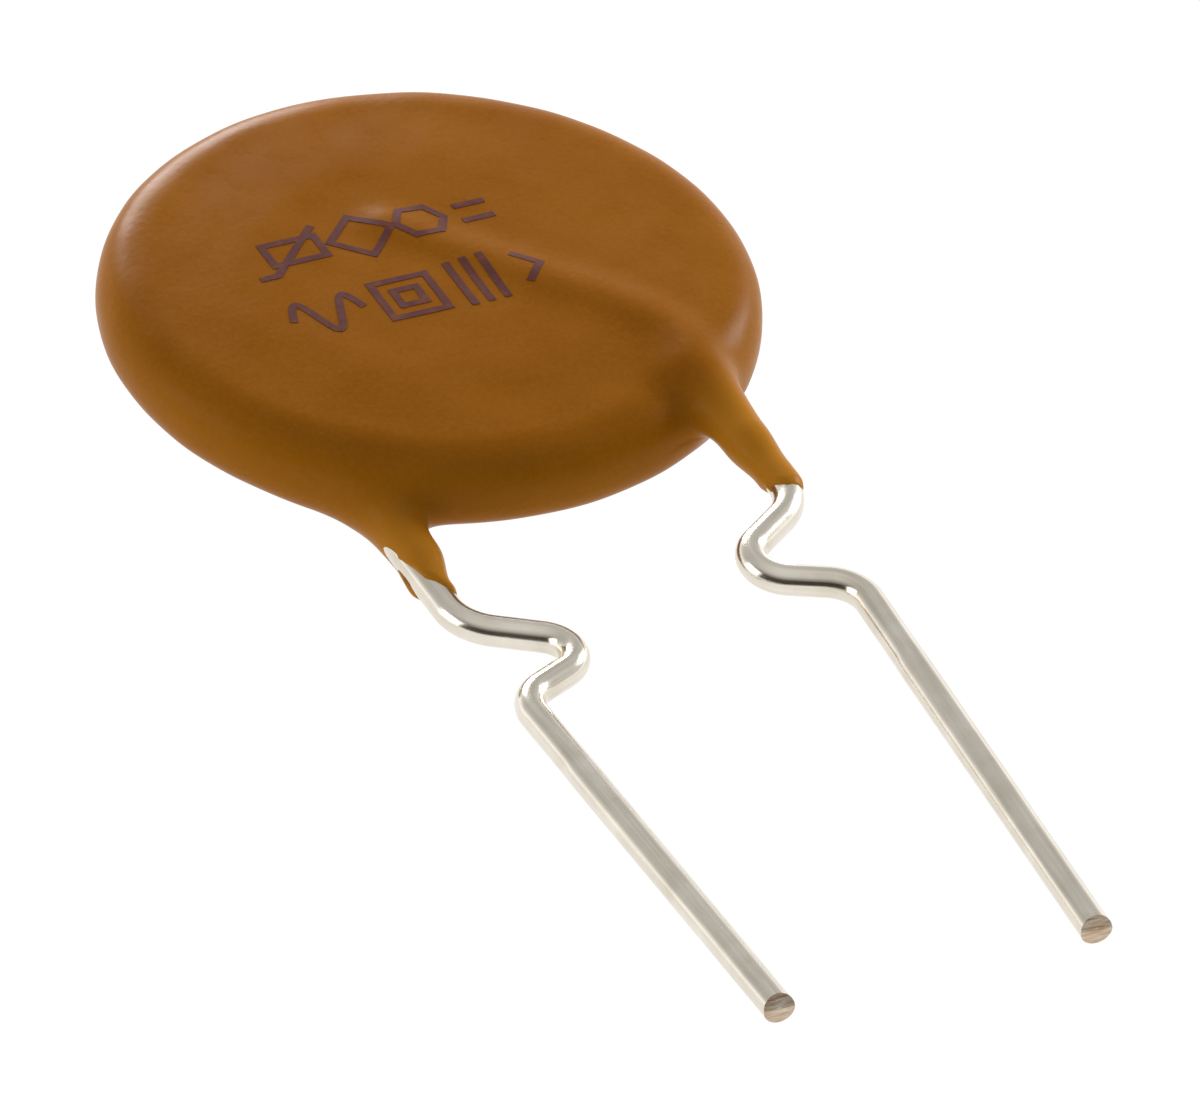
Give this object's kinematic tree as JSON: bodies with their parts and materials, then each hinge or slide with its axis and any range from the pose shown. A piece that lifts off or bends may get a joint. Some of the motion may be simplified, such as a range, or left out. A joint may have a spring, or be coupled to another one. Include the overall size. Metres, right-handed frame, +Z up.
{
  "type": "resettable fuse",
  "caption": "Radial resettable fuse: a dip-coated polymer disc with two kinked wire leads for board mounting.",
  "frame": {"origin": "on the surface the part lies on, under the middle of its bounding box", "axes": "+Z up, out of the front (marked) face; +Y from the lead tips towards the disc; +X across the leads, towards the front lead"},
  "size_m": [0.0104, 0.024, 0.002],
  "materials": {
    "epoxy_coating": "caramel brown dip-coated epoxy, semi-gloss, with a faint orange peel",
    "conductive_polymer": "carbon-filled polymer, matte black",
    "nickel_foil": "matte nickel-plated foil",
    "solder": "satin tin solder",
    "tinned_wire": "satin tin plating over copper wire, drawn lengthwise"
  },
  "bodies": {
    "root": {"coating": "epoxy_coating", "polymer_disc": "conductive_polymer", "front_foil": "nickel_foil", "rear_foil": "nickel_foil", "front_solder": "solder", "rear_solder": "solder", "front_lead": "tinned_wire", "rear_lead": "tinned_wire"}
  },
  "joints": []
}
